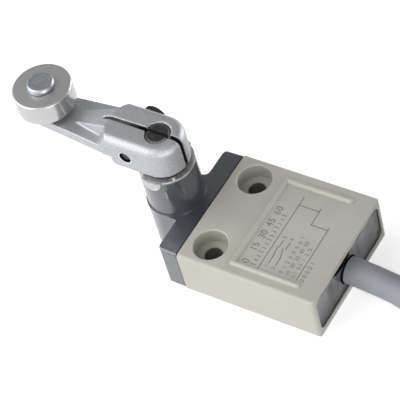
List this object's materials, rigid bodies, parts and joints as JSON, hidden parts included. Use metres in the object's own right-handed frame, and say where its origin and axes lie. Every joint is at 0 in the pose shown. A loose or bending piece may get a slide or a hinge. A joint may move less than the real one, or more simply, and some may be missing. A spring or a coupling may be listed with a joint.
{
  "type": "roller lever limit switch",
  "caption": "Compact enclosed limit switch with a rotary roller lever clamped to its shaft, a flat bolt-down case and a potted cable outlet.",
  "frame": {"origin": "midway between the two mounting holes, on the back face of the case", "axes": "+X across the two mounting holes, +Y along the case from the cable end to the lever, +Z out of the front face"},
  "size_m": [0.0816, 0.2616, 0.0481],
  "materials": {
    "case_paint": "satin warm grey paint on die-cast metal",
    "head_paint": "satin dark blue-grey paint on die-cast metal",
    "lever_cast": "bright die-cast, slightly grainy",
    "steel": "turned steel",
    "plate_steel": "pressed sheet steel",
    "black_steel": "black oxide",
    "rubber_black": "matt rubber",
    "bronze": "sintered bearing bronze",
    "contact_metal": "copper alloy strip",
    "switch_moulding": "thermoset moulding",
    "button_plastic": "moulded plastic",
    "core_black": "core insulation",
    "core_white": "core insulation",
    "core_red": "core insulation",
    "core_green": "core insulation",
    "resin": "cast resin",
    "sheath": "satin cable sheath",
    "strap": "cable strap"
  },
  "bodies": {
    "case": {"case": "case_paint", "head": "head_paint", "head_gasket": "rubber_black", "head_screws": "black_steel", "marking_plate": "plate_steel", "shaft_bush": "bronze", "shaft_seal": "rubber_black", "plunger_spring": "steel", "plunger_seal": "rubber_black", "switch_base": "switch_moulding", "switch_cover": "switch_moulding", "contact_blade": "contact_metal", "common_terminal": "contact_metal", "open_terminal": "contact_metal", "closed_terminal": "contact_metal", "lead_common": "core_black", "lead_open": "core_white", "lead_closed": "core_red", "lead_earth": "core_green", "earth_screw": "steel", "potting": "resin", "cable": "sheath", "cable_hank": "sheath", "cable_ties": "strap", "core_ends": "contact_metal"},
    "lever": {"lever_arm": "lever_cast", "shaft": "black_steel", "retaining_ring": "black_steel", "clamp_screw": "black_steel", "clamp_washer": "steel", "roller_pin": "steel", "roller_washer": "steel"},
    "roller": {"roller": "steel"},
    "plunger": {"plunger": "steel"},
    "button": {"switch_button": "button_plastic"}
  },
  "joints": [
    {"name": "lever_swing", "type": "hinge", "parent": "case", "child": "lever", "pos_m": [0, 0.01875, 0.0367], "axis": [0, 0, 1], "range_deg": [-65, 65], "stiffness_Nm_per_rad": 0.25},
    {"name": "roller_spin", "type": "hinge", "parent": "lever", "child": "roller", "pos_m": [0, 0.05675, 0.0427], "axis": [0, 0, 1], "continuous": true},
    {"name": "plunger_slide", "type": "slide", "parent": "case", "child": "plunger", "axis": [0, -1, 0], "range_m": [0, 0.001], "stiffness_N_per_m": 1500, "springref_m": -0.001, "deforming": ["plunger_spring"]},
    {"name": "button_slide", "type": "slide", "parent": "case", "child": "button", "axis": [0, -1, 0], "range_m": [0, 0.001], "deforming": ["contact_blade"]}
  ],
  "couplings": [
    {"joint": "button_slide", "follows": "plunger_slide", "ratio": 1}
  ]
}
